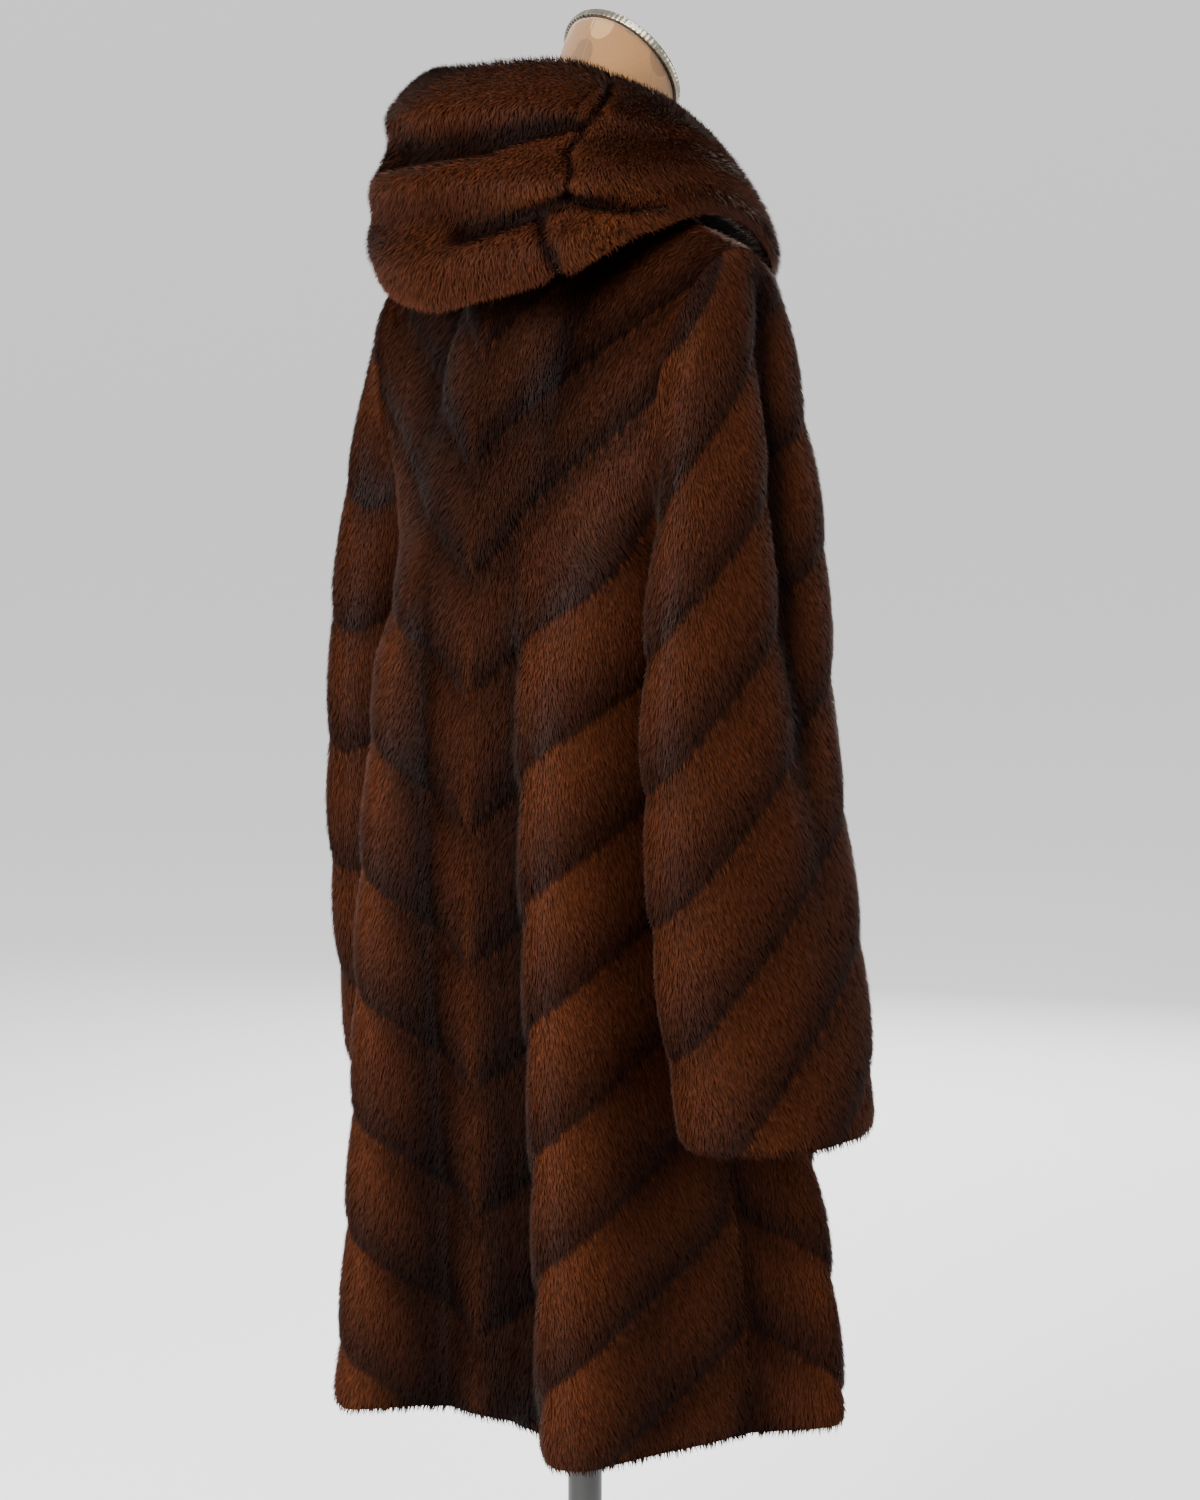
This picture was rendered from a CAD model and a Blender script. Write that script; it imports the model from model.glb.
import math

import bmesh
import bpy
import numpy as np
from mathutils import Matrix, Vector


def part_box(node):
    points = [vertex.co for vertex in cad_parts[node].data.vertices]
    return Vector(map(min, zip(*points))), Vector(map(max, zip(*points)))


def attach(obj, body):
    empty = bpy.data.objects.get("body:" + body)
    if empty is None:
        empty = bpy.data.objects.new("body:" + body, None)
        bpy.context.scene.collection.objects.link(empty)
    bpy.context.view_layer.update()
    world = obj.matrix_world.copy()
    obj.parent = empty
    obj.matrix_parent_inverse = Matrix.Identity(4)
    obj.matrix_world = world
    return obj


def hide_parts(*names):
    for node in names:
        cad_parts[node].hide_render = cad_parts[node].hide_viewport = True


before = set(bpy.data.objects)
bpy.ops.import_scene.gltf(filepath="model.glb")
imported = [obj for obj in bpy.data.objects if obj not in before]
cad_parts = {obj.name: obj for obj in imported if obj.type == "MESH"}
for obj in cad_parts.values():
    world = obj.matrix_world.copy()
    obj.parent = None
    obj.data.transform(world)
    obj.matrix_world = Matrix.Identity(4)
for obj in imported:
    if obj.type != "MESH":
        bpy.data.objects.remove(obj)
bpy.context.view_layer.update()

# A hooded fur coat on a limbless dress form. The coat's own tables are in millimetres, as its pattern is,
# and every mesh is made in metres. The wearer's front faces -Y, the wearer's left is +X and the back is +Y.
# Angles round the body start at the centre back and grow towards the wearer's right.
MM = 0.001
SEED = 11


def table(columns, *rows):
    """Rows of numbers under named columns, as one dictionary for each row."""
    return [dict(zip(columns.split(), row)) for row in rows]


# The coat's driving sizes. SEAM_SHUT is how far a skin's sewn edge draws back into its own piece.
HEM_Z = 350
ARMPIT_Z = 1040
SEAM_GAP = 0.3
SEAM_SHUT = 0.05
FRONT_GAP = 5
SIDE_SEAM = dict(high=85.2, low=97, fall=420)
NECK = dict(side=68, back=62, front=80, side_z=1333, back_z=1320, front_z=1286)
NECK_SHARE = 7 / 15
ARMHOLE = dict(top_x=190, top_z=1280, low_x=143.5, low_z=ARMPIT_Z, half=68, mid_y=12)
ARMHOLE_HEART = np.array([167, 12, 1160])
PELT = dict(slope=0.66, relief=4.5)

# Heights of the chevron's points on the centre back, from the top down. The fourth starts pelt 0.
CHEVRONS = np.array([1385, 1295, 1203, 1111, 1028, 937, 828, 722, 623, 519, 422, 325, 225, 125])
FIRST_CHEVRON = 3
SLEEVE_PELT = dict(pitch=101, rise=96, low_z=776, low_at=math.radians(105))

# Skin and pile. The skin's outer face lies one pile below the tips of the fur. Its hem and cuffs end short of
# the fur's by HEM_DROP, and turn in by EDGE_TURN over the last share of their length.
PILE = 3.2
SKIN = 6.5
HEM_DROP = 6
EDGE_TURN = dict(depth=4.5, share=0.018)
SLEEVE_LENGTH = 690

# A level section has FINE points all round, and its bends take up more columns by TURN_WEIGHT.
FINE = 720
TURN_WEIGHT = 32

# Level sections of the body below the armpits, without their folds
BODY = table(
    "z side back front square",
    (1040, 143, 120, 132, 3.3),
    (980, 143, 124, 134, 3.1),
    (850, 144, 127, 138, 2.8),
    (720, 145, 126, 144, 2.6),
    (600, 146, 122, 148, 2.5),
    (520, 162, 120, 151, 2.4),
    (440, 172, 120, 154, 2.3),
    (350, 177, 121, 157, 2.3),
)

# Folds that hang from the body. high is the angle where a fold starts and low where it meets the hem.
# near is its width towards the centre back and far away from it, and steep is how squarely its near side
# turns. rise is how soon it deepens.
FOLDS = table(
    "high low near far steep depth top_z rise",
    (33, 44, 9, 19, 3.4, 64, 1075, 0.6),
    (-36, -27, 9, 20, 3.8, 80, 1085, 0.65),
    (12, 15, 12, 9, 2, -11, 1000, 0.7),
    (125, 115, 12, 16, 2, 52, 790, 0.6),
    (-126, -117, 12, 15, 2, 34, 760, 0.6),
    (155, 150, 10, 10, 2, 14, 1000, 0.9),
    (-150, -146, 11, 11, 2, 13, 1000, 0.9),
)

# Rings of a sleeve from the armhole to the cuff
SLEEVE = table(
    "index out_x out_z in_x in_z half mid_y",
    (0, 190, 1280, 144.5, 1040, 68, 12),
    (1, 202, 1264, 146, 1021, 71, 12),
    (2, 209, 1240, 146.7, 1002, 74, 13),
    (3, 214, 1205, 147, 980, 79, 13),
    (4, 223, 1160, 147, 952, 86, 13),
    (5, 232, 1100, 147.1, 917, 92, 12),
    (6, 239, 1030, 147.3, 875, 97, 12),
    (7, 245, 950, 147.7, 828, 99, 10),
    (8, 252, 860, 148.3, 774, 102, 5),
    (9, 258, 770, 148.4, 717, 102, -2),
    (10, 265, 683, 149, 658, 98, -9),
    (11, 272, 599, 150, 599, 90, -14),
)
SLEEVE_FOLDS = table(
    "at wide depth mid_z tall",
    (-13, 14, -17, 1075, 200),
    (98, 20, -6, 1130, 80),
    (-60, 22, -8, 900, 150),
    (-13, 6, -5, 1085, 190),
)

# Upright sections of the hood by angle, as distance from the middle of the neck and height on its fur face:
# under it, its low edge, three rolls with creases between, its top and its brim
HOOD = table(
    "at under_r under_z low_r low_z roll3_r roll3_z crease2_r crease2_z roll2_r roll2_z"
    " crease1_r crease1_z roll1_r roll1_z top_r top_z brim_r brim_z",
    (0, 104, 1303, 146, 1232, 168, 1262, 160, 1298, 170, 1326, 156, 1354, 160, 1386, 126, 1416, 92, 1392),
    (42, 112, 1304, 150, 1254, 168, 1278, 162, 1303, 168, 1327, 155, 1360, 152, 1388, 117, 1418, 86, 1394),
    (68, 108, 1322, 146, 1290, 154, 1304, 151, 1320, 149, 1338, 141, 1360, 134, 1379, 111, 1403, 86, 1386),
    (95, 106, 1326, 142, 1302, 149, 1312, 147, 1325, 143, 1340, 134, 1355, 125, 1368, 106, 1383, 84, 1368),
    (134, 112, 1298, 144, 1266, 153, 1275, 152, 1288, 145, 1303, 136, 1316, 127, 1326, 108, 1339, 89, 1326),
    (177, 118, 1262, 142, 1222, 152, 1232, 152, 1246, 147, 1262, 139, 1276, 131, 1287, 115, 1298, 99, 1288),
)
HOOD_POINTS = "under low roll3 crease2 roll2 crease1 roll1 top brim".split()
HOOD_SEAM = dict(neck=34, outside=113)
HOOD_LIFT = 1.2
HOOD_END = math.radians(177)

# Creases that run round the hood, as lines of degrees and share of its section. Each folds in by depth, and
# reaches a share below and above its line. Its lip is how far the roll under it stands out.
CREASES = table(
    "line depth below above lip fade",
    ([(-34, 0.622), (-12, 0.628), (4, 0.64), (22, 0.648), (32, 0.675), (46, 0.695), (58, 0.75)],
     15, 0.016, 0.085, 4, 16),
    ([(7, 0.400), (20, 0.412), (32, 0.438), (45, 0.477), (54, 0.44), (63, 0.375), (76, 0.33)],
     13, 0.018, 0.035, 2, 7),
    ([(-120, 0.44), (-60, 0.44), (-20, 0.43), (14, 0.42)], -7, 0.07, 0.07, 0, 20),
)

# Creases that run up the hood, as lines of share and degrees, with a depth and a width in degrees
UPRIGHT_CREASES = table(
    "line depth wide",
    ([(0.14, 43.5), (0.30, 40), (0.46, 36.5)], 9, 1.8),
    ([(0.45, 44.5), (0.51, 43), (0.58, 45.5), (0.63, 44.5), (0.67, 48), (0.71, 48.5), (0.75, 53),
      (0.78, 53.5), (0.82, 57.5), (0.92, 62)], 8, 1.6),
)

# Places on the hood where its fur is short and curly, in degrees and share of its section
CURLS = table(
    "at share wide tall amount",
    (54, 0.34, 9, 0.09, 1),
    (38, 0.495, 8, 0.045, 0.7),
    (64, 0.46, 13, 0.06, 0.75),
    (45, 0.60, 2.2, 0.15, 0.8),
    (53, 0.76, 2.5, 0.08, 0.7),
    (4, 0.43, 8, 0.05, 0.4),
)
SEAM_CURL = dict(spine=0.35, side=0.45, reach=3)

# Level sections of the dress form and the line of its neck
FORM = table(
    "z side back front mid_y",
    (738, 122, 88, 84, 0),
    (790, 127, 94, 92, 0),
    (850, 124, 94, 90, 0),
    (920, 110, 84, 84, 0),
    (980, 98, 74, 80, 0),
    (1050, 108, 84, 96, 0),
    (1110, 118, 86, 104, 0),
    (1160, 126, 80, 90, 1),
    (1210, 132, 60, 62, 3),
    (1245, 135, 42, 42, 5),
    (1262, 135, 32, 31, 6),
    (1275, 134, 24, 23, 6),
    (1286, 130, 17, 17, 5.5),
    (1296, 119, 11, 11, 4.5),
    (1303, 104.4, 7, 7, 3.5),
    (1309, 90.6, 5, 5, 2.5),
)
FORM_NECK = dict(base_z=1285, base_y=2, base_r=50, cap_y=-36, cap_z=1424, cap_r=51, waist=4,
                 tilt=math.radians(49))
FORM_COLUMNS = 96

# Seams of the form, as degrees round it from the centre back
TORSO_SEAMS = (0, 50, -50, 90, -90, 130, -130, 180)
NECK_SEAMS = (11, 82, -82, -165)
RIM = dict(radius=54, tube=3, height=7, columns=192)
CAP = dict(radius=50, height=9)
POLE_RADIUS = 14
BASE = dict(radius=190, height=14, bevel=6, collar_foot=38, collar_top=26, collar_height=60)

# How finely the coat is made
GRID = dict(arm_rows=36, body_rows=100, half=40, sleeve_rows=90, sleeve_columns=120, hood_rows=104,
            hood_centre=44, hood_side=66)

# The fur of the body and sleeves, and of the hood. density is hairs in a square centimetre, rise is degrees
# that a hair stands up from the skin, and soft is how far its light follows the skin's.
FUR = dict(density=39, length=7.2, width=1.05, rise=20, stray=0.15, soft=0.8, sheen=0.14)
HOOD_FUR = dict(density=58, length=7.6, width=1.0, rise=46, stray=0.26, soft=0.75, sheen=0.09)

# How many times a skin is evened out to find its small and its large hollows, and the depths that count as full
HOLLOWS = dict(near=14, far=70, small=7, large=15)

# How the rows at the armpit's level are eased: over how many rows, how far from the side seam, how many times
EASING = dict(rows=5.0, from_seam=8, times=24)

CAMERA = dict(azimuth=math.radians(49), pitch=math.radians(6.39), distance=2.5, height=1.164, lens=93.75,
              shift=15 / 1200)


def lerp(a, b, t):
    return a + (b - a) * t


def clamp(x, low=0.0, high=1.0):
    return np.minimum(high, np.maximum(low, x))


def smooth(t):
    return t * t * (3 - 2 * t)


def unit(v):
    return v / np.maximum(np.linalg.norm(v, axis=-1, keepdims=True), 1e-9)


def set_round(turns, radius, z):
    """Points round the Z axis, at turns from the centre back."""
    return np.stack([-np.sin(turns) * radius, np.cos(turns) * radius, z * np.ones_like(turns)], axis=-1)


def full_turn(columns):
    return np.linspace(0, 2 * math.pi, columns, endpoint=False)


def cubic(p0, p1, p2, p3, t):
    """Catmull and Rom's cubic through the middle two of four values."""
    a, b = 2 * p1, p2 - p0
    c, d = 2 * p0 - 5 * p1 + 4 * p2 - p3, -p0 + 3 * p1 - 3 * p2 + p3
    return 0.5 * (a + b * t + c * t * t + d * t**3)


def between(rows, key, value):
    """A table's row at a key between two of its rows, with each column eased by a cubic."""
    rows = sorted(rows, key=lambda row: row[key])
    keys = [row[key] for row in rows]
    last = len(rows) - 1
    at = min(max(value, keys[0]), keys[-1])
    i = min(max(int(np.searchsorted(keys, at)), 1), last)
    picked = [rows[min(max(k, 0), last)] for k in (i - 2, i - 1, i, i + 1)]
    t = (at - keys[i - 1]) / (keys[i] - keys[i - 1])
    return {name: at if name == key else cubic(*(row[name] for row in picked), t) for name in rows[0]}


def pelt_bulge(phase):
    """How far a pelt stands out, from 0 just under a seam to its fullest and back just above the next."""
    f = phase - np.floor(phase)
    rising = np.sin(np.minimum(f / 0.72, 1) * math.pi / 2)
    return np.where(f < 0.72, rising, 1 - 0.3 * ((f - 0.72) / 0.28) ** 2)


def body_radius(angles, z):
    """The distance of the body's outer face from its middle, at angles from the centre back."""
    row = between(BODY, "z", z)
    depth = np.where(np.abs(angles) < math.pi / 2, row["back"], row["front"])
    sides = np.abs(np.sin(angles)) / row["side"]
    ends = np.abs(np.cos(angles)) / depth
    radius = (sides ** row["square"] + ends ** row["square"]) ** (-1 / row["square"])
    degrees = np.degrees(angles)
    for fold in FOLDS:
        down = float(clamp((fold["top_z"] - z) / (fold["top_z"] - HEM_Z)))
        grown = down ** fold["rise"] * clamp((fold["top_z"] - z) / 120)
        away = (degrees - lerp(fold["high"], fold["low"], down)) * np.sign(fold["low"])
        near = (np.maximum(-away, 0) / fold["near"]) ** fold["steep"]
        far = (np.maximum(away, 0) / fold["far"]) ** 2
        radius = radius + fold["depth"] * grown * np.exp(-near - far)
    return radius


def measured(points, turn_weight=0.0):
    """A line of points with its length so far, and its run, which counts a bend as more length."""
    steps = np.diff(points, axis=0)
    lengths = np.linalg.norm(steps, axis=1)
    length = np.concatenate([[0], np.cumsum(lengths)])
    ways = steps / np.maximum(lengths, 1e-9)[:, None]
    bends = np.arccos(clamp((ways[1:] * ways[:-1]).sum(1), -1, 1))
    run = length + turn_weight * np.concatenate([[0, 0], np.cumsum(bends)])
    return dict(points=points, length=length, run=run)


def along(line, shares):
    """The points of a measured line at shares of its run."""
    want = np.asarray(shares) * line["run"][-1]
    return np.stack([np.interp(want, line["run"], line["points"][:, k]) for k in range(3)], axis=-1)


def length_at(line, shares):
    return np.interp(np.asarray(shares) * line["run"][-1], line["run"], line["length"])


section_cache = {}


def half_section(z, is_back, side):
    """A level section of a half panel, from its middle to the side seam. side is 1 for the wearer's left."""
    key = (round(z, 4), is_back, side)
    if key not in section_cache:
        moved = smooth(float(clamp((ARMPIT_Z - z) / SIDE_SEAM["fall"])))
        seam = -side * math.radians(lerp(SIDE_SEAM["high"], SIDE_SEAM["low"], moved))
        front_edge = -side * (math.pi - FRONT_GAP / 2 / BODY[0]["front"])
        start = 0 if is_back else front_edge
        count = round(abs(seam - start) / (2 * math.pi) * FINE)
        angles = np.linspace(start, seam, count + 1)
        section_cache[key] = measured(set_round(angles, body_radius(angles, z), z), TURN_WEIGHT)
    return section_cache[key]


def armhole_edge(turn, is_back):
    """The armhole's edge, from the shoulder at turn 0 to the armpit at turn pi."""
    a = ARMHOLE
    y = a["mid_y"] + (1 if is_back else -1) * a["half"] * math.sin(turn)
    x = (a["top_x"] + a["low_x"]) / 2 + (a["top_x"] - a["low_x"]) / 2 * math.cos(turn)
    z = (a["top_z"] + a["low_z"]) / 2 + (a["top_z"] - a["low_z"]) / 2 * math.cos(turn)
    return np.array([x, y, z])


def neckline_points(turns, is_back):
    """The neckline from the centre to the shoulder, on the wearer's left, by turns up to a quarter."""
    depth = NECK["back"] if is_back else -NECK["front"]
    low = NECK["back_z"] if is_back else NECK["front_z"]
    z = lerp(NECK["side_z"], low, np.cos(turns) ** 2)
    return np.stack([NECK["side"] * np.sin(turns), depth * np.cos(turns), z], axis=-1)


def top_points(s, is_back):
    """The top row of a half panel: its neckline, and then its shoulder seam out to the armhole."""
    on_neck = neckline_points(np.minimum(s / NECK_SHARE, 1) * math.pi / 2, is_back)
    t = clamp((s - NECK_SHARE) / (1 - NECK_SHARE))
    on_shoulder = np.stack([lerp(NECK["side"], ARMHOLE["top_x"], t), ARMHOLE["mid_y"] * t,
                            lerp(NECK["side_z"], ARMHOLE["top_z"], t)], axis=-1)
    return np.where((s < NECK_SHARE)[:, None], on_neck, on_shoulder)


def rib_line(v, is_back):
    """A rib across a half panel above the armpits, from the middle to the armhole. v runs down."""
    edge = armhole_edge(math.pi * v, is_back)
    low = between(BODY, "z", ARMPIT_Z)
    sign = 1 if is_back else -1
    fall = 1 - (1 - v) ** (3 if is_back else 2.4)
    neck_y, low_y = (NECK["back"], low["back"]) if is_back else (NECK["front"], low["front"])
    mid_y = sign * lerp(neck_y, low_y, fall)
    mid_z = lerp(NECK["back_z"] if is_back else NECK["front_z"], ARMPIT_Z, v)
    square = lerp(2.2, low["square"], v)
    share = (edge[1] - ARMHOLE["mid_y"]) / (mid_y - ARMHOLE["mid_y"])
    last_turn = math.acos(float(clamp(share)) ** (square / 2))
    reach = edge[0] / math.sin(last_turn) ** (2 / square)
    turns = np.linspace(0, last_turn, 97)
    x = reach * np.sin(turns) ** (2 / square)
    y = lerp(ARMHOLE["mid_y"], mid_y, np.maximum(0, np.cos(turns)) ** (2 / square))
    z = lerp(edge[2], mid_z, (1 - x / edge[0]) ** 2)
    return measured(np.stack([x, y, z], axis=1))


def upper_points(s, v, is_back):
    """A row of a half panel above the armpits, on the wearer's left."""
    at_top = top_points(s, is_back) - along(rib_line(0, is_back), s)
    at_low = along(half_section(ARMPIT_Z, is_back, 1), s) - along(rib_line(1, is_back), s)
    return along(rib_line(v, is_back), s) + at_top * math.cos(math.pi * v / 2) ** 3 + at_low * v**4


def panel_row(s, t, is_back, side):
    """A row of a half panel's outer face. t is 0 at the top, 1 at the armpit and 2 at the hem."""
    if t > 1:
        return along(half_section(lerp(ARMPIT_Z, HEM_Z, t - 1), is_back, side), s)
    row = upper_points(s, t, is_back)
    if not is_back:
        row[:, 0] += FRONT_GAP / 2 * (1 - s) * (1 - t)
    row[:, 0] *= side
    return row


def body_phase(row, s, is_back, side):
    """How far down its pelt each point of a row lies: whole numbers are seams."""
    z = min(ARMPIT_Z, float(row[0, 2]))
    back = half_section(z, True, side)
    own = half_section(z, is_back, side)
    run = length_at(own, s)
    away = run if is_back else back["length"][-1] - (own["length"][-1] - run)
    height = row[:, 2] - PELT["slope"] * away
    return np.interp(-height, -CHEVRONS, np.arange(len(CHEVRONS)) - FIRST_CHEVRON)


def row_steps(values, is_ring):
    """The change of a grid's values along its rows, which is doubled on a ring."""
    if is_ring:
        return np.roll(values, -1, axis=1) - np.roll(values, 1, axis=1)
    return np.gradient(values, axis=1)


def grid_ways(grid, is_ring=False):
    """The unit directions along a grid's rows, down its columns, and out of its face."""
    across = unit(row_steps(grid, is_ring))
    down = unit(np.gradient(grid, axis=0))
    return across, down, unit(np.cross(across, down))


def blend_ways(a, b, t):
    return unit(a + (b - a) * t[..., None])


def eased_at_armpit(grid, s):
    """Takes the kink out of a panel's rows at the level of the armpit, away from its side seam."""
    rows = (np.arange(len(grid)) - GRID["arm_rows"]) / EASING["rows"]
    inside = smooth(clamp((1 - s) * EASING["from_seam"]))
    amount = np.exp(-rows**2)[:, None, None] * inside[None, :, None]
    for _ in range(EASING["times"]):
        middle = (grid[:-2] + grid[2:]) / 2
        grid[1:-1] += (middle - grid[1:-1]) * 0.5 * amount[1:-1]
    return grid


def half_panel(is_back, side):
    """A half panel's points, outward directions and phases, as rows from the neck to the hem."""
    s = np.linspace(0, 1, GRID["half"] + 1)
    last = 2 - HEM_DROP / (ARMPIT_Z - HEM_Z)
    t = np.concatenate([np.linspace(0, 1, GRID["arm_rows"] + 1),
                        np.linspace(1, last, GRID["body_rows"] + 1)[1:]])
    grid = eased_at_armpit(np.stack([panel_row(s, k, is_back, side) for k in t]), s)
    phase = np.stack([body_phase(row, s, is_back, side) for row in grid])
    out = grid_ways(grid)[2]
    flip = np.sign((out * (grid * [1, 1, 0] + [0, 0, 60])).sum(-1).mean())
    return dict(grid=grid, phase=phase, out=out * flip, s=s, t=t)


def joined(left, right):
    """One panel of two halves that meet at the centre back."""
    both = {}
    for name in ("grid", "phase", "out"):
        both[name] = np.concatenate([left[name][:, ::-1], right[name][:, 1:]], axis=1)
    out = both["out"]
    middle = left["grid"].shape[1] - 1
    out[:, middle] = unit(out[:, middle - 1] + out[:, middle + 1])
    return dict(both, s=np.concatenate([left["s"][::-1], right["s"][1:]]), t=left["t"])


def armhole_way(grid):
    """The way into the armhole's middle from each point, which the panels and the sleeve share."""
    level = np.ones(grid.shape[:2])
    heart = ARMHOLE_HEART * np.stack([np.sign(grid[..., 0]), level, level], axis=-1)
    return unit(heart - grid)


def soften(values, times, is_ring=False):
    """Points on a grid, evened out along its rows and columns."""
    for _ in range(times):
        padded = np.pad(values, ((1, 1), (0, 0), (0, 0)), mode="edge")
        values = (padded[:-2] + 2 * values + padded[2:]) / 4
        padded = np.pad(values, ((0, 0), (1, 1), (0, 0)), mode="wrap" if is_ring else "edge")
        values = (padded[:, :-2] + 2 * values + padded[:, 2:]) / 4
    return values


def body_panel(panel, is_back):
    """The skin and the nap of a panel of the body."""
    grid, phase, out = panel["grid"], panel["phase"], panel["out"]
    s, t = panel["s"][None, :], panel["t"][:, None]
    # The pelts' relief evens out towards the neck, the shoulder and the side seam.
    to_seam = clamp(np.minimum(t * 8, (1 - s) * 9 + 0.02))
    raised = lerp(0.5, pelt_bulge(phase), smooth(clamp(to_seam * 1.4)))
    depth = PELT["relief"] * (1 - raised) + edge_turn(t, panel["t"][-1])
    at_armhole = smooth(clamp((s - 0.9) * 10)) * (t <= 1)
    through = blend_ways(-out, armhole_way(grid), at_armhole * np.ones_like(phase))
    skin = grid + through * (PILE + depth)[..., None]
    if not is_back:
        skin[:, 0, 0] = np.sign(skin[:, 3, 0]) * SEAM_GAP
    return dict(outer=skin, through=through, phase=phase, out=out, s=panel["s"], dim=dimmed(grid))


def edge_turn(share, last):
    """How far the skin turns in just before the hem or the cuff, which lies at the last share."""
    reach = EDGE_TURN["share"]
    return EDGE_TURN["depth"] * clamp((share - last + reach) / reach) ** 2


def dimmed(grid):
    """How much darker the pelts are under the hood and near the hem than those between."""
    z = grid[..., 2]
    return 0.75 * smooth(clamp((z - 985) / 170)) + 0.25 * smooth(clamp((700 - z) / 350))


def sleeve_row(turns, share, side):
    """A ring of a sleeve's outer face. turns is 0 on its outermost line and grows towards the back."""
    ring = between(SLEEVE, "index", share * (len(SLEEVE) - 1))
    out = (1 + np.cos(turns)) / 2
    points = np.stack([lerp(ring["in_x"], ring["out_x"], out), ring["mid_y"] + ring["half"] * np.sin(turns),
                       lerp(ring["in_z"], ring["out_z"], out)], axis=1)
    middle = np.stack([np.full_like(turns, (ring["in_x"] + ring["out_x"]) / 2),
                       np.full_like(turns, ring["mid_y"]), points[:, 2]], axis=1)
    degrees = np.degrees(np.arctan2(np.sin(turns), np.cos(turns)))
    fall = 0
    for fold in SLEEVE_FOLDS:
        around = (degrees - fold["at"]) / fold["wide"]
        tall = (points[:, 2] - fold["mid_z"]) / fold["tall"]
        fall = fall + fold["depth"] * np.exp(-around * around - tall * tall) * clamp(share * 6)
    points += unit(points - middle) * fall[:, None]
    rise = SLEEVE_PELT["rise"] * (1 - np.cos(turns - SLEEVE_PELT["low_at"]))
    phase = (SLEEVE_PELT["low_z"] + rise - points[:, 2]) / SLEEVE_PELT["pitch"]
    points[:, 0] *= side
    return points, phase


def sleeve_panel(side):
    """The skin and the nap of a sleeve, as rings from the armhole to the cuff."""
    turns = full_turn(GRID["sleeve_columns"])
    last = 1 - HEM_DROP / SLEEVE_LENGTH
    shares = np.linspace(0, last, GRID["sleeve_rows"] + 1)
    rings = [sleeve_row(turns, share, side) for share in shares]
    grid, phase = np.stack([r[0] for r in rings]), np.stack([r[1] for r in rings])
    out = grid_ways(grid, True)[2]
    middle = grid.mean(axis=1, keepdims=True)
    out *= np.sign((out * (grid - middle)).sum(-1).mean())
    share = shares[:, None] * np.ones_like(phase)
    from_seam = smooth(clamp(share * 8))
    depth = PELT["relief"] * (1 - pelt_bulge(phase)) * from_seam + edge_turn(share, last)
    through = blend_ways(armhole_way(grid), -out, from_seam)
    skin = grid + through * (PILE + depth)[..., None]
    skin[0, :, 0] += side * SEAM_SHUT
    dim = 0.5 * smooth(clamp((grid[..., 2] - 1190) / 90))
    return dict(outer=skin, through=through, phase=phase, out=out, dim=dim)


def neckline(angle):
    """The neckline, which the hood is sewn to, by angle from the centre back."""
    is_back = abs(angle) < math.pi / 2
    depth = NECK["back"] if is_back else NECK["front"]
    turn = math.atan2(abs(math.sin(angle)) * depth, abs(math.cos(angle)) * NECK["side"])
    return neckline_points(np.array([turn]), is_back)[0]


hood_cache = {}


def hood_section(angle):
    """The hood's upright section at an angle, as points on its fur face."""
    key = round(abs(angle), 4)
    if key not in hood_cache:
        row = between(HOOD, "at", math.degrees(key))
        start = neckline(key)
        points = [(math.hypot(start[0], start[1]), start[2] + HOOD_LIFT)]
        points += [(row[name + "_r"], row[name + "_z"]) for name in HOOD_POINTS]
        hood_cache[key] = np.array(points, float)
    return hood_cache[key]


def on_section(points, share):
    """The point and the direction of a smooth line through points, at a share of its way."""
    def at(k):
        place = min(max(k, 0.0), 1.0) * (len(points) - 1)
        i = min(int(place), len(points) - 2)
        picked = [points[min(max(n, 0), len(points) - 1)] for n in (i - 1, i, i + 1, i + 2)]
        return cubic(*picked, place - i)
    way = at(share + 0.01) - at(share - 0.01)
    return at(share), way / max(np.hypot(*way), 1e-9)


def hood_seam_angle(radius, share):
    half = lerp(HOOD_SEAM["neck"], HOOD_SEAM["outside"], float(clamp(share * 4)))
    return math.asin(float(clamp(half / radius, -0.98, 0.98)))


def faded(value, low, high, reach):
    """1 between two ends, easing to 0 within reach of each."""
    return smooth(clamp((value - low) / reach)) * smooth(clamp((high - value) / reach))


def crease_depth(degrees, share):
    """How far the hood's face lies under its plain section. Angles are from the centre back."""
    fall = np.zeros_like(degrees)
    for crease in CREASES:
        at, height = np.array(crease["line"]).T
        away = share - np.interp(degrees, at, height)
        reach = np.where(away < 0, crease["below"], crease["above"])
        lip = crease["lip"] * np.exp(-((away + 3.2 * crease["below"]) / (2.2 * crease["below"])) ** 2)
        folded = crease["depth"] * np.exp(-(away / reach) ** 2) - lip
        fall += folded * faded(degrees, at[0], at[-1], crease["fade"])
    for crease in UPRIGHT_CREASES:
        height, at = np.array(crease["line"]).T
        away = (degrees - np.interp(share, height, at)) / crease["wide"]
        fall += crease["depth"] * np.exp(-away * away) * faded(share, height[0], height[-1], 0.03)
    return fall


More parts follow.
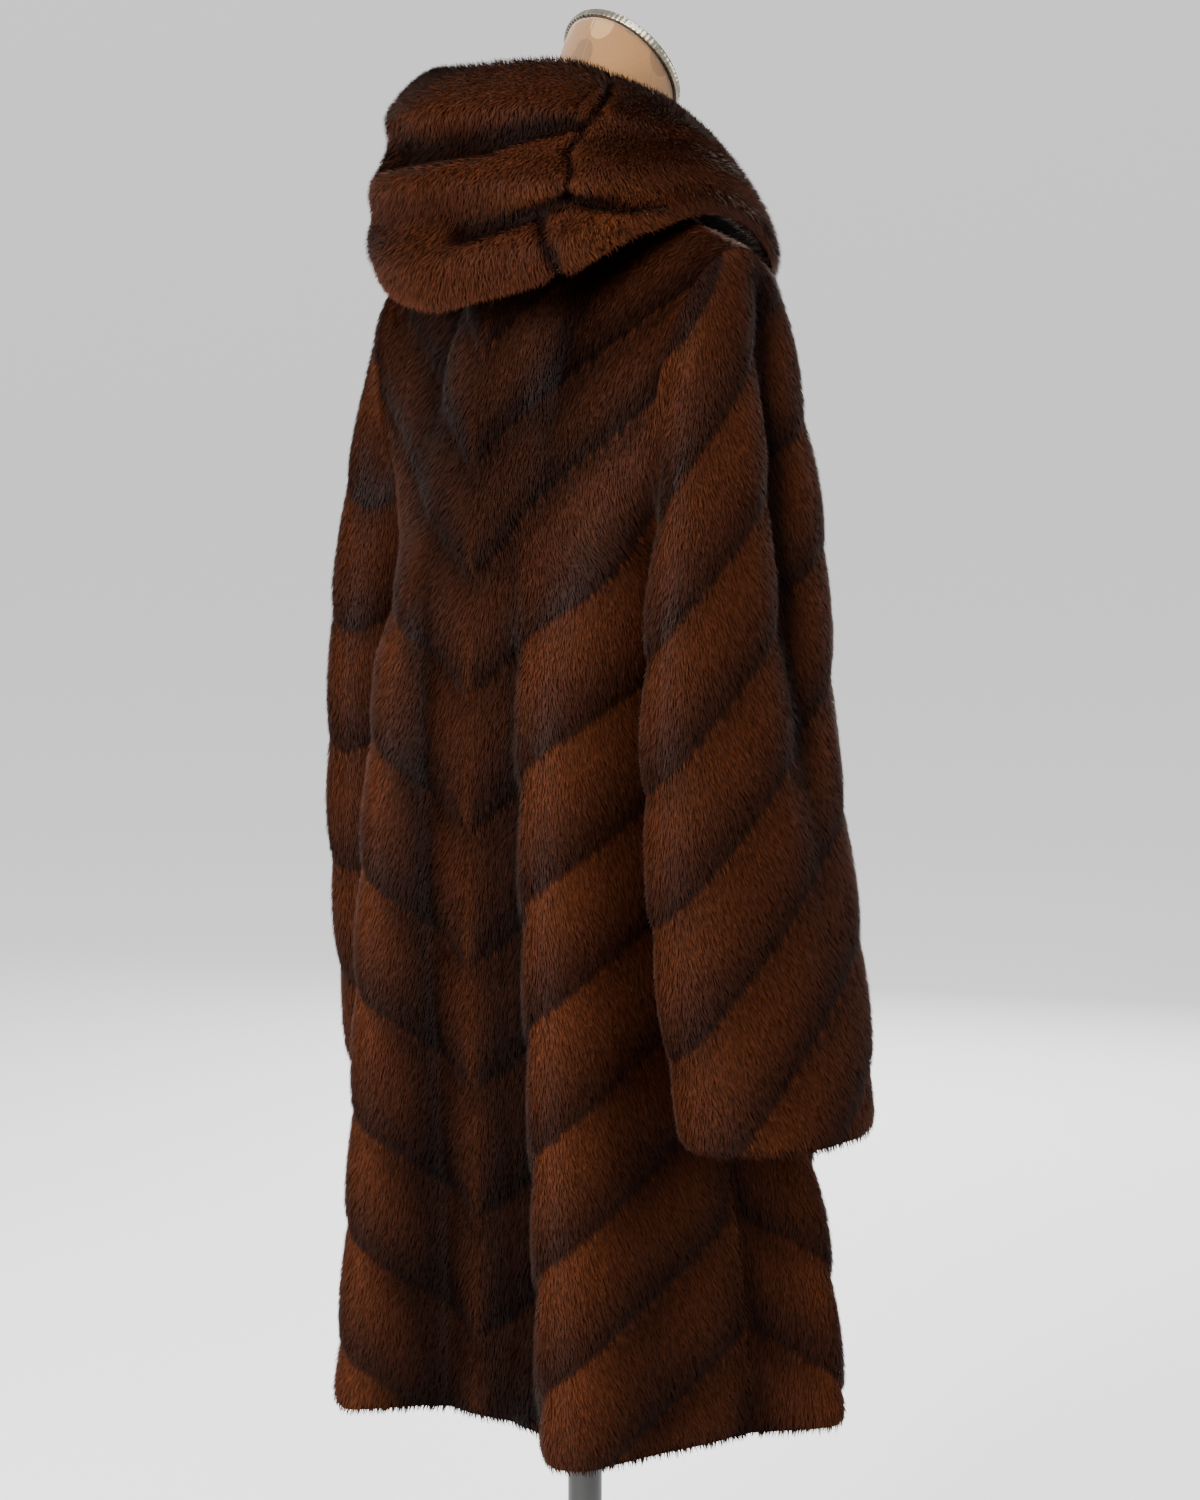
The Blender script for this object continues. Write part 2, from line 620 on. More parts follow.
def hood_panel(first, last, side, columns):
    """The skin of one of the hood's panels. Column 0 is the centre back, 1 the seam and 2 the front end."""
    seam_section = hood_section(0.7)
    shares = np.linspace(0, 1, GRID["hood_rows"] + 1)
    places = first + (last - first) * np.linspace(0, 1, columns + 1) ** (1.4 if first > 0 else 1)
    skin, through, angles = [], [], []
    for share in shares:
        seam = hood_seam_angle(on_section(seam_section, share)[0][0], share)
        size = np.abs(places)
        away = np.where(size <= 1, size * seam, lerp(seam, HOOD_END, size - 1))
        row_angles = away * np.where(places < 0, -1, 1) * side
        flat = [on_section(hood_section(a), share) for a in row_angles]
        spot = np.array([f[0] for f in flat])
        inward = np.array([(-f[1][1], f[1][0]) for f in flat])
        spot = spot + inward * (PILE + crease_depth(np.degrees(row_angles), share))[:, None]
        skin.append(set_round(row_angles, spot[:, 0], spot[:, 1]))
        through.append(set_round(row_angles, inward[:, 0], inward[:, 1]))
        angles.append(row_angles)
    skin, through, angles = np.stack(skin), np.stack(through), np.stack(angles)
    share = shares[:, None] * np.ones_like(angles)
    return dict(outer=skin, through=through, out=-through, angle=angles, share=share, dim=0.2)


def hollows(panel, is_ring=False):
    """How deep each point of a panel lies among its folds, from -1 on a ridge to 1 in a valley."""
    grid = panel["outer"]
    near = soften(grid, HOLLOWS["near"], is_ring)
    far = soften(near, HOLLOWS["far"], is_ring)
    small, large = (((flat - grid) * panel["out"]).sum(-1) for flat in (near, far))
    return clamp(small / HOLLOWS["small"] + large / HOLLOWS["large"] + panel["dim"], -1, 1)


def pull_back(grid, left=False, right=False, top=False):
    """Moves a grid's border points a little into its own piece, which leaves the seam's gap."""
    if left:
        grid[:, 0] += unit(grid[:, 1] - grid[:, 0]) * SEAM_SHUT
    if right:
        grid[:, -1] += unit(grid[:, -2] - grid[:, -1]) * SEAM_SHUT
    if top:
        grid[0] += unit(grid[1] - grid[0]) * SEAM_SHUT


def closed_wall(name, panel, is_ring, nap):
    """A closed skin between a panel's outer grid and an inner one. Its outer face carries the pile, and each
    point has the phase and the nap of its fur."""
    outer = panel["outer"]
    rows, columns = outer.shape[:2]
    inner = outer + panel["through"] * SKIN
    verts = np.concatenate([outer.reshape(-1, 3), inner.reshape(-1, 3)]) * MM
    ids = np.arange(rows * columns).reshape(rows, columns)
    if is_ring:
        ids = np.concatenate([ids, ids[:, :1]], axis=1)
    deep = ids + rows * columns

    def quads(a):
        return np.stack([a[:-1, :-1], a[1:, :-1], a[1:, 1:], a[:-1, 1:]], axis=-1).reshape(-1, 4)

    def strip(a, b):
        return np.stack([a[:-1], a[1:], b[1:], b[:-1]], axis=-1)

    face_out, face_in = quads(ids), quads(deep)[:, ::-1]
    edges = [strip(ids[0], deep[0]), strip(ids[-1], deep[-1])[:, ::-1]]
    if not is_ring:
        edges += [strip(ids[:, 0], deep[:, 0])[:, ::-1], strip(ids[:, -1], deep[:, -1])]
    faces = np.concatenate([face_out, face_in, *edges])
    corners = verts[faces]
    cross = np.cross(corners[:, 1] - corners[:, 0], corners[:, 2] - corners[:, 0])
    if (cross * corners[:, 0]).sum() < 0:
        faces = faces[:, ::-1]
    mesh = bpy.data.meshes.new(name)
    mesh.from_pydata(verts.tolist(), [], faces.tolist())
    mesh.shade_smooth()
    numbers = dict(phase=nap["phase"], curl=nap["curl"], hollow=hollows(panel, is_ring))
    for key, values in numbers.items():
        add_values(mesh, key, np.tile(values.ravel(), 2))
    for key, values in dict(nap=nap["way"], outward=panel["out"]).items():
        add_vectors(mesh, key, np.tile(values.ravel(), 2))
    pile = np.zeros(len(faces), bool)
    pile[: len(face_out)] = True
    layer = mesh.attributes.new("pile", "BOOLEAN", "FACE")
    layer.data.foreach_set("value", pile)
    hide = np.zeros(len(faces), np.int32)
    hide[len(face_out): 2 * len(face_out)] = 1
    mesh.polygons.foreach_set("material_index", hide)
    add_strands(mesh, outer)
    return linked(name, mesh)


def linked(name, data):
    """An object of a mesh or of other data, in the scene."""
    obj = bpy.data.objects.new(name, data)
    bpy.context.scene.collection.objects.link(obj)
    return obj


def add_values(mesh, name, values):
    layer = mesh.attributes.new(name, "FLOAT", "POINT")
    layer.data.foreach_set("value", np.asarray(values, np.float32))


def add_vectors(mesh, name, values):
    layer = mesh.attributes.new(name, "FLOAT_VECTOR", "POINT")
    layer.data.foreach_set("vector", np.asarray(values, np.float32).ravel())


def add_strands(mesh, outer):
    """A map in metres over the skin, across and down its nap, for the streaks of its underfur."""
    rows, columns = outer.shape[:2]
    across = np.linalg.norm(np.diff(outer, axis=1), axis=-1).mean(axis=0)
    down = np.linalg.norm(np.diff(outer, axis=0), axis=-1).mean(axis=1)
    u = np.concatenate([[0], np.cumsum(across)])[None, :] * np.ones((rows, 1))
    v = np.concatenate([[0], np.cumsum(down)])[:, None] * np.ones((1, columns))
    flat = np.stack([u, v], axis=-1).reshape(-1, 2) * MM
    flat = np.concatenate([flat, flat])
    corners = np.zeros(len(mesh.loops), np.int32)
    mesh.loops.foreach_get("vertex_index", corners)
    layer = mesh.uv_layers.new(name="strands")
    layer.data.foreach_set("uv", flat[corners].astype(np.float32).ravel())


class Socket:
    """A value in a tree of nodes. A sum on values adds the nodes that work it out."""

    def __init__(self, tree, socket):
        self.tree = tree
        self.socket = socket

    @property
    def is_wide(self):
        return self.socket.type in ("VECTOR", "RGBA")

    def worked(self, operation, a, b):
        pair = {0: a, 1: b}
        vectors = [x for x in (a, b) if isinstance(x, tuple) or getattr(x, "is_wide", False)]
        if not vectors:
            return self.tree.node("ShaderNodeMath", dict(operation=operation), pair)
        if operation == "MULTIPLY" and len(vectors) == 1:
            scaled = {0: vectors[0], "Scale": b if a is vectors[0] else a}
            return self.tree.node("ShaderNodeVectorMath", dict(operation="SCALE"), scaled)
        return self.tree.node("ShaderNodeVectorMath", dict(operation=operation), pair)

    def __add__(self, other):
        return self.worked("ADD", self, other)

    def __radd__(self, other):
        return self.worked("ADD", other, self)

    def __sub__(self, other):
        return self.worked("SUBTRACT", self, other)

    def __rsub__(self, other):
        return self.worked("SUBTRACT", other, self)

    def __mul__(self, other):
        return self.worked("MULTIPLY", self, other)

    def __rmul__(self, other):
        return self.worked("MULTIPLY", other, self)

    def fract(self):
        return self.tree.node("ShaderNodeMath", dict(operation="FRACT"), {0: self})

    def part(self, axis):
        return self.tree.node("ShaderNodeSeparateXYZ", {}, {0: self}, axis)


class Tree:
    """A tree of nodes, for a material or for geometry."""

    def __init__(self, tree):
        self.tree = tree
        tree.nodes.clear()

    def node(self, kind, settings=None, inputs=None, output=0):
        """A node of a kind, with its settings made first and then the values or links of its sockets."""
        made = self.tree.nodes.new(kind)
        for name, value in (settings or {}).items():
            if name == "stops":
                self.set_stops(made.color_ramp, value)
            else:
                setattr(made, name, value)
        for name, value in (inputs or {}).items():
            if isinstance(value, Socket):
                self.tree.links.new(value.socket, made.inputs[name])
            else:
                made.inputs[name].default_value = value
        return Socket(self, made.outputs[output]) if made.outputs else made

    @staticmethod
    def set_stops(ramp, stops):
        while len(ramp.elements) < len(stops):
            ramp.elements.new(0.5)
        for element, (place, colour) in zip(ramp.elements, stops):
            element.position = place
            element.color = (*colour, 1)

    def ramp(self, value, stops, ease="LINEAR"):
        made = self.node("ShaderNodeValToRGB", dict(stops=stops), {0: value})
        made.socket.node.color_ramp.interpolation = ease
        return made

    def mixed(self, factor, a, b):
        """Two colours mixed. A plain colour is four numbers."""
        return self.node("ShaderNodeMix", dict(data_type="RGBA"), {0: factor, 6: a, 7: b}, 2)

    def ranged(self, value, low, high, start=0.0, end=1.0):
        """A value eased from one range to another and kept inside it."""
        inputs = {"Value": value, "From Min": low, "From Max": high, "To Min": start, "To Max": end}
        return self.node("ShaderNodeMapRange", dict(interpolation_type="SMOOTHSTEP"), inputs)

    def noise(self, place, scale, detail=2.0, roughness=0.5, output=0):
        inputs = {"Vector": place, "Scale": scale, "Detail": detail, "Roughness": roughness}
        return self.node("ShaderNodeTexNoise", {}, inputs, output)


class Finish(Tree):
    """A material, with the sockets that its pattern reads."""

    def __init__(self, name):
        self.material = bpy.data.materials.new(name)
        self.material.use_nodes = True
        super().__init__(self.material.node_tree)

    def values(self, name):
        return self.node("ShaderNodeAttribute", dict(attribute_name=name), {}, "Fac")

    def place(self):
        return self.node("ShaderNodeTexCoord", {}, {}, "Object")

    def strands(self, name="strands"):
        return self.node("ShaderNodeUVMap", dict(uv_map=name))

    def stretched(self, place, across, down, away=1.0):
        return self.node("ShaderNodeMapping", {}, {"Vector": place, "Scale": (across, down, away)})

    def bump(self, height, distance, strength=1.0):
        return self.node("ShaderNodeBump", {}, {"Height": height, "Distance": distance, "Strength": strength})

    def surface(self, **inputs):
        """Closes the material with its surface. A name's underscores stand for spaces."""
        named = {name.replace("_", " "): value for name, value in inputs.items()}
        shader = self.node("ShaderNodeBsdfPrincipled", {}, named)
        self.node("ShaderNodeOutputMaterial", {}, {"Surface": shader})
        return self.material


# The colours of a pelt from under its upper seam down to its lower edge, and of the short curly fur
PELT_STOPS = [
    (0.0, (0.0325, 0.0087, 0.0030)),
    (0.30, (0.0290, 0.0077, 0.0028)),
    (0.58, (0.0205, 0.0057, 0.0023)),
    (0.82, (0.0118, 0.0036, 0.0018)),
    (1.0, (0.0080, 0.0028, 0.0016)),
]
CURL_COLOUR = (0.050, 0.0136, 0.0042, 1)

# The gloss that dense fur has where it turns away from the eye
SHEEN = dict(Sheen_Roughness=0.2, Sheen_Tint=(0.94, 0.68, 0.58, 1))


def pelt_shade(finish):
    """The colour of the fur by its place in its pelt, and how dark that place is."""
    wander = finish.noise(finish.place(), 14, 2) - 0.5
    place = finish.values("phase").fract()
    shade = finish.ramp(place + wander * 0.16, PELT_STOPS)
    shade = finish.mixed(finish.values("curl"), shade, CURL_COLOUR)
    sunk = finish.ranged(finish.values("hollow"), -1.0, 1.0, 1.3, 0.22)
    tufts = finish.ranged(finish.noise(finish.place(), 210, 2), 0.5, 0.62)
    sunk = sunk * (1.0 - tufts * finish.values("curl") * 0.8)
    return shade, finish.ranged(place, 0.5, 0.95), sunk


def hair_finish(name, sheen):
    """The hairs: dark at the root, glossy at the tip, each a little lighter or darker than the next."""
    finish = Finish(name)
    shade, dark, sunk = pelt_shade(finish)
    tip, tone = finish.values("tip"), finish.values("tone")
    value = finish.ranged(tip, 0.0, 0.8, 0.5, 1.12) * (0.55 + 0.9 * tone) * sunk
    colour = finish.node("ShaderNodeHueSaturation", {}, {"Color": shade, "Value": value})
    return finish.surface(Base_Color=colour, Roughness=0.6 - 0.12 * dark, Specular_IOR_Level=0.03,
                          Sheen_Weight=sheen, **SHEEN)


def underfur_finish():
    """The dense fur near the skin, with fine streaks along its nap."""
    finish = Finish("fur_under")
    shade, dark, sunk = pelt_shade(finish)
    streaks = finish.noise(finish.stretched(finish.strands(), 900, 170), 1.0, 3, 0.6)
    value = finish.ranged(streaks, 0.3, 0.72, 0.3, 0.85) * sunk
    colour = finish.node("ShaderNodeHueSaturation", {}, {"Color": shade, "Value": value})
    raised = finish.bump(streaks, 0.0012, 0.8)
    return finish.surface(Base_Color=colour, Roughness=0.8, Specular_IOR_Level=0.0, Normal=raised)


def hide_finish():
    """The flesh side of the pelts, a matt brown suede with faint creases."""
    finish = Finish("suede")
    mottle = finish.noise(finish.place(), 32, 4, 0.6)
    grain = finish.noise(finish.place(), 900, 2)
    colour = finish.ramp(mottle, [(0.25, (0.024, 0.0115, 0.0062)), (0.75, (0.042, 0.0215, 0.0120))])
    height = mottle * 0.6 + grain * 0.4
    return finish.surface(Base_Color=colour, Roughness=0.9, Specular_IOR_Level=0.1,
                          Normal=finish.bump(height, 0.0008, 0.7), Sheen_Weight=0.05, Sheen_Roughness=0.5,
                          Sheen_Tint=(0.6, 0.4, 0.3, 1))


def hair_template():
    """One hair, a metre long and wide before it is sized, with its face up and its tip along +Y."""
    mesh = bpy.data.meshes.new("hair")
    mesh.from_pydata([(-0.5, 0, 0), (0.5, 0, 0), (0, 1, 0)], [], [(0, 1, 2)])
    add_values(mesh, "tip", [0, 0, 1])
    return linked("hair", mesh)


def fur_tree():
    """A tree that grows hairs on the faces of a skin that carry pile, leaning along its nap."""
    group = bpy.data.node_groups.new("fur", "GeometryNodeTree")
    sides = group.interface
    sides.new_socket("Skin", in_out="INPUT", socket_type="NodeSocketGeometry")
    for name in ("Hairs per square metre", "Length", "Width", "Rise", "Stray"):
        sides.new_socket(name, in_out="INPUT", socket_type="NodeSocketFloat")
    sides.new_socket("Seed", in_out="INPUT", socket_type="NodeSocketInt")
    sides.new_socket("Hair", in_out="INPUT", socket_type="NodeSocketObject")
    sides.new_socket("Finish", in_out="INPUT", socket_type="NodeSocketMaterial")
    sides.new_socket("Fur", in_out="OUTPUT", socket_type="NodeSocketGeometry")
    tree = Tree(group)
    given = group.nodes.new("NodeGroupInput")

    def asked(name):
        return Socket(tree, given.outputs[name])

    def named(name, kind):
        return tree.node("GeometryNodeInputNamedAttribute", dict(data_type=kind), {"Name": name})

    def chance(kind, low, high, seed):
        return random_value(tree, kind, {"Min": low, "Max": high, "Seed": asked("Seed") + seed})

    spread = tree.node("GeometryNodeDistributePointsOnFaces", {},
                       {"Mesh": asked("Skin"), "Selection": named("pile", "BOOLEAN"),
                        "Density": asked("Hairs per square metre"), "Seed": asked("Seed")})
    place = tree.node("GeometryNodeInputPosition")
    drift = tree.noise(place, 30, 1, output="Color") - (0.5, 0.5, 0.5)
    clump = tree.noise(place, 170, 1, output="Color") - (0.5, 0.5, 0.5)
    stray = chance("FLOAT_VECTOR", (-1, -1, -1), (1, 1, 1), 1)
    way = named("nap", "FLOAT_VECTOR") + named("outward", "FLOAT_VECTOR") * asked("Rise")
    curl = named("curl", "FLOAT")
    way = way + drift * 0.4 + clump * (0.42 + curl * 1.5) + stray * asked("Stray")
    turn = tree.node("FunctionNodeAxesToRotation", dict(primary_axis="Y", secondary_axis="Z"),
                     {"Primary Axis": way, "Secondary Axis": named("outward", "FLOAT_VECTOR") + stray * 0.55})
    long = asked("Length") * chance("FLOAT", 0.7, 1.15, 2) * (1.0 - curl * 0.3)
    wide = asked("Width") * chance("FLOAT", 0.7, 1.3, 3)
    size = tree.node("ShaderNodeCombineXYZ", {}, {0: wide, 1: long, 2: 1.0})
    shade = tree.noise(place, 240, 1) * 0.8 + chance("FLOAT", 0.0, 1.0, 4) * 0.6 - 0.2
    toned = tree.node("GeometryNodeStoreNamedAttribute", dict(data_type="FLOAT", domain="POINT"),
                      {"Geometry": spread, "Name": "tone", "Value": shade})
    hair = tree.node("GeometryNodeObjectInfo", {}, {"Object": asked("Hair")}, "Geometry")
    grown = tree.node("GeometryNodeInstanceOnPoints", {},
                      {"Points": toned, "Instance": hair, "Rotation": turn, "Scale": size})
    real = tree.node("GeometryNodeRealizeInstances", {}, {"Geometry": grown})
    done = tree.node("GeometryNodeSetMaterial", {}, {"Geometry": real, "Material": asked("Finish")})
    tree.node("NodeGroupOutput", {}, {"Fur": done})
    return group


def random_value(tree, kind, inputs):
    """A random value. Its sockets share their names between kinds, so they are found by kind."""
    made = tree.tree.nodes.new("FunctionNodeRandomValue")
    made.data_type = kind
    for name, value in inputs.items():
        socket = next(s for s in made.inputs if s.name == name and s.enabled)
        if isinstance(value, Socket):
            tree.tree.links.new(value.socket, socket)
        else:
            socket.default_value = value
    return Socket(tree, next(s for s in made.outputs if s.enabled))


def grow_fur(skin, name, fur, group, hair, finish, seed):
    """The hairs of one skin as a plain mesh, lit as softly as the skin that they stand on."""
    modifier = skin.modifiers.new("fur", "NODES")
    modifier.node_group = group
    wanted = {"Hairs per square metre": fur["density"] * 1e4, "Length": fur["length"] * MM,
              "Width": fur["width"] * MM, "Rise": math.tan(math.radians(fur["rise"])), "Stray": fur["stray"],
              "Seed": seed, "Hair": hair, "Finish": finish}
    for item in group.interface.items_tree:
        if item.name in wanted:
            modifier[item.identifier] = wanted[item.name]
    bpy.context.view_layer.update()
    evaluated = skin.evaluated_get(bpy.context.evaluated_depsgraph_get())
    mesh = bpy.data.meshes.new_from_object(evaluated)
    skin.modifiers.remove(modifier)
    mesh.name = name
    soften_light(mesh, fur["soft"])
    return linked(name, mesh)


def read_vectors(mesh, name):
    values = np.zeros(len(mesh.vertices) * 3, np.float32)
    mesh.attributes[name].data.foreach_get("vector", values)
    return values.reshape(-1, 3)


def soften_light(mesh, soft):
    """Turns each hair's normals most of the way to the skin's."""
    points = np.zeros(len(mesh.vertices) * 3, np.float32)
    mesh.vertices.foreach_get("co", points)
    points = points.reshape(-1, 3, 3)
    face = unit(np.cross(points[:, 1] - points[:, 0], points[:, 2] - points[:, 0]))
    outward = read_vectors(mesh, "outward").reshape(-1, 3, 3)
    face *= np.sign((face * outward[:, 0]).sum(-1, keepdims=True))
    normals = unit(outward * soft + face[:, None] * (1 - soft)).reshape(-1, 3)
    mesh.shade_smooth()
    mesh.normals_split_custom_set_from_vertices(normals)


def ring_mesh(name, rings, is_loop):
    """A mesh through rings of points. A loop of rings joins its last to its first, and others have flat ends."""
    count, columns = rings.shape[:2]
    ids = np.arange(count * columns).reshape(count, columns)
    ids = np.concatenate([ids, ids[:, :1]], axis=1)
    if is_loop:
        ids = np.concatenate([ids, ids[:1]], axis=0)
    corners = [ids[:-1, :-1], ids[:-1, 1:], ids[1:, 1:], ids[1:, :-1]]
    faces = np.stack(corners, axis=-1).reshape(-1, 4).tolist()
    if not is_loop:
        faces += [ids[0, :-1][::-1].tolist(), ids[-1, :-1].tolist()]
    mesh = bpy.data.meshes.new(name)
    mesh.from_pydata(rings.reshape(-1, 3).tolist(), [], faces)
    mesh.shade_smooth()
    return mesh


def lofted(name, rings, finish):
    """A closed body through rings of points, with flat ends."""
    rings = np.asarray(rings) * MM
    mesh = ring_mesh(name, rings, False)
    add_wrap(mesh, rings)
    return finished(name, mesh, finish)


def add_wrap(mesh, rings):
    """A map in metres round and along a body through rings. Its two flat ends lie at its first point."""
    count, columns = rings.shape[:2]
    radius = np.linalg.norm(rings - rings.mean(axis=1, keepdims=True), axis=-1).mean()
    steps = np.linalg.norm(np.diff(rings, axis=0), axis=-1).mean(axis=1)
    along_v = np.concatenate([[0], np.cumsum(steps)])
    rows, places = np.meshgrid(np.arange(count - 1), np.arange(columns), indexing="ij")
    u = np.stack([places, places + 1, places + 1, places], axis=-1) * (2 * math.pi * radius / columns)
    v = along_v[np.stack([rows, rows, rows + 1, rows + 1], axis=-1)]
    flat = np.zeros((len(mesh.loops), 2), np.float32)
    flat[: u.size] = np.stack([u, v], axis=-1).reshape(-1, 2)
    mesh.uv_layers.new(name="wrap").data.foreach_set("uv", flat.ravel())


def finished(name, mesh, finish):
    """An object of a closed mesh, with its faces outward and its finish."""
    made = bmesh.new()
    made.from_mesh(mesh)
    bmesh.ops.recalc_face_normals(made, faces=made.faces)
    made.to_mesh(mesh)
    made.free()
    mesh.materials.append(finish)
    return linked(name, mesh)


def form_ring(z):
    """A level ring of the form's torso."""
    row = between(FORM, "z", z)
    turns = full_turn(FORM_COLUMNS)
    depth = np.where(np.cos(turns) > 0, row["back"], row["front"])
    return np.stack([-np.sin(turns) * row["side"], row["mid_y"] + np.cos(turns) * depth,
                     np.full_like(turns, z)], axis=1)


def neck_ring(t):
    """A ring of the form's neck, which leans more and more from its base at 0 to its cap at 1."""
    n = FORM_NECK
    lean = n["tilt"] * t**1.5
    radius = lerp(n["base_r"], n["cap_r"], t) - n["waist"] * math.sin(math.pi * t)
    turns = full_turn(FORM_COLUMNS)
    ahead = np.cos(turns) * radius
    return np.stack([-np.sin(turns) * radius, lerp(n["base_y"], n["cap_y"], t**1.6) + ahead * math.cos(lean),
                     lerp(n["base_z"], n["cap_z"], t) + ahead * math.sin(lean)], axis=1)


def make_form(finish):
    """The torso of the form and its leaning neck. Both carry how far each point is round from a seam."""
    low, high = FORM[0]["z"], FORM[-1]["z"]
    shoulder_z, neck_rings = 1200, 50
    heights = np.concatenate([np.linspace(low, shoulder_z, 50), np.linspace(shoulder_z, high, 60)[1:]])
    torso = lofted("form_torso_cover", [form_ring(z) for z in heights], finish)
    neck = lofted("form_neck_cover", [neck_ring(t) for t in np.linspace(0.04, 1, neck_rings)], finish)
    points = np.array([v.co for v in torso.data.vertices])
    middle_y = 0.003
    torso_turns = np.arctan2(-points[:, 0], points[:, 1] - middle_y)
    neck_turns = np.tile(full_turn(FORM_COLUMNS), neck_rings)
    neck_turns = np.where(neck_turns > math.pi, neck_turns - 2 * math.pi, neck_turns)
    for obj, turns, seams in ((torso, torso_turns, TORSO_SEAMS), (neck, neck_turns, NECK_SEAMS)):
        add_values(obj.data, "seam", np.min([np.abs(turns - math.radians(a)) for a in seams], axis=0))
    return torso, neck


def on_neck(points, lift):
    """Points of an upright turned piece, set square on the leaning neck."""
    n = FORM_NECK
    lean = n["tilt"]
    x, y, z = points[..., 0], points[..., 1], points[..., 2] + lift
    return np.stack([x, n["cap_y"] + y * math.cos(lean) - z * math.sin(lean),
                     n["cap_z"] + y * math.sin(lean) + z * math.cos(lean)], axis=-1)


def turned_rings(outline, columns):
    """Rings round the Z axis for an outline of radius and height with round corners."""
    r, z = np.array(rounded(outline), float).T
    return set_round(full_turn(columns)[None], r[:, None], z[:, None])


def rounded(outline, steps=5):
    """An outline whose corners are cut round by short arcs, each as wide as the corner's third number."""
    points = [np.array(p[:2], float) for p in outline]
    made = [points[0]]
    for i in range(1, len(points) - 1):
        radius = outline[i][2] if len(outline[i]) > 2 else 0
        back, ahead = unit(points[i - 1] - points[i]), unit(points[i + 1] - points[i])
        a, b = points[i] + back * radius, points[i] + ahead * radius
        for t in np.linspace(0, 1, steps) if radius else [0.5]:
            made.append((1 - t) ** 2 * a + 2 * t * (1 - t) * points[i] + t * t * b)
    made.append(points[-1])
    return made


def make_rim(finish):
    """The metal band round the top of the neck, as a closed ring with soft edges and fine grooves."""
    r, tube, height = RIM["radius"], RIM["tube"], RIM["height"]
    corners = [(r - tube, 0, 0.6), (r, 0, 1.0), (r + 0.8, height / 2, 2.5), (r, height, 1.2),
               (r - tube, height, 0.6)]
    rings = turned_rings([corners[-1], *corners, corners[0]], RIM["columns"])[1:-1]
    mesh = ring_mesh("neck_rim_band", on_neck(rings, SEAM_GAP) * MM, True)
    add_values(mesh, "around", np.tile(np.arange(RIM["columns"]) * 1.0, len(rings)))
    return finished("neck_rim_band", mesh, finish)


def linen_finish(name, pale, dark):
    """Beige cloth in a plain weave, with faint dots in three tones and a seam down the form."""
    finish = Finish(name)
    place = finish.place()
    wrap = finish.strands("wrap")
    warp = finish.noise(finish.stretched(place, 260, 260, 2600), 1, 2)
    weft = finish.noise(finish.stretched(place, 2200, 2200, 260), 1, 2)
    mottle = finish.noise(place, 20, 3)
    weave = warp * 0.5 + weft * 0.5
    cloth = finish.ramp(weave * 0.7 + mottle * 0.3, [(0.3, dark), (0.7, pale)])
    dots = [finish.node("ShaderNodeTexVoronoi", dict(feature="F1", voronoi_dimensions="2D"),
                        {"Vector": wrap, "Scale": 30.0, "Randomness": 0.55}, part) for part in ("Distance", "Color")]
    spots, kinds = dots
    inside = finish.ranged(spots, 0.29, 0.315, 1.0, 0.0)
    tone = finish.ramp(kinds.part(0), [(0.0, (0.080, 0.040, 0.015)), (0.45, (0.215, 0.113, 0.042)),
                                       (0.75, (0.260, 0.145, 0.060))], "CONSTANT")
    dotted = finish.mixed(inside * 0.75, cloth, tone)
    line = finish.ranged(finish.values("seam"), 0.006, 0.018, 1.0, 0.0)
    colour = finish.mixed(line * 0.8, dotted, (0.10, 0.055, 0.028, 1))
    height = weave - line * 1.2
    return finish.surface(Base_Color=colour, Roughness=0.86, Specular_IOR_Level=0.25,
                          Normal=finish.bump(height, 0.0005, 0.7), Sheen_Weight=0.2, Sheen_Roughness=0.5)


def nickel_finish():
    """Thin nickel-coloured metal with fine grooves across its band."""
    finish = Finish("nickel")
    groove = finish.node("ShaderNodeMath", dict(operation="SINE"), {0: finish.values("around") * 2.6})
    wear = finish.noise(finish.place(), 90, 3)
    colour = finish.ramp(wear + groove * 0.05, [(0.3, (0.17, 0.15, 0.11)), (0.7, (0.30, 0.275, 0.22))])
    return finish.surface(Base_Color=colour, Metallic=1.0, Roughness=0.24 + wear * 0.16,
                          Normal=finish.bump(groove, 0.0002, 0.5))


def stand_finish():
    """Satin black paint with a slight grain and small scuffs."""
    finish = Finish("stand_paint")
    grain = finish.noise(finish.place(), 700, 2)
    scuffs = finish.noise(finish.place(), 14, 5, 0.65)
    colour = finish.ramp(scuffs, [(0.35, (0.009, 0.009, 0.009)), (0.75, (0.020, 0.019, 0.018))])
    return finish.surface(Base_Color=colour, Roughness=0.30 + scuffs * 0.2, Specular_IOR_Level=0.3,
                          Normal=finish.bump(grain, 0.0001, 0.35))


def nap_of_panel(panel, is_ring=False, towards_seam=0.3):
    """The way the fur lies on a panel: down it, and a little square to its seams."""
    across, down, _ = grid_ways(panel["outer"], is_ring)
    phase = panel["phase"]
    if is_ring:
        step = np.roll(phase, -1, axis=1) - np.roll(phase, 1, axis=1)
        width = np.linalg.norm(np.roll(panel["outer"], -1, axis=1) - np.roll(panel["outer"], 1, axis=1), axis=-1)
    else:
        step = np.gradient(phase, axis=1)
        width = np.linalg.norm(np.gradient(panel["outer"], axis=1), axis=-1)
    height = np.linalg.norm(np.gradient(panel["outer"], axis=0), axis=-1)
    fall = np.gradient(phase, axis=0) / height
    side = step / width
    square = unit(across * side[..., None] + down * fall[..., None])
    way = unit(down * (1 - towards_seam) + square * towards_seam)
    curl = np.zeros_like(phase) if is_ring else seam_curl(panel, phase)
    return dict(way=way, phase=phase, curl=curl)


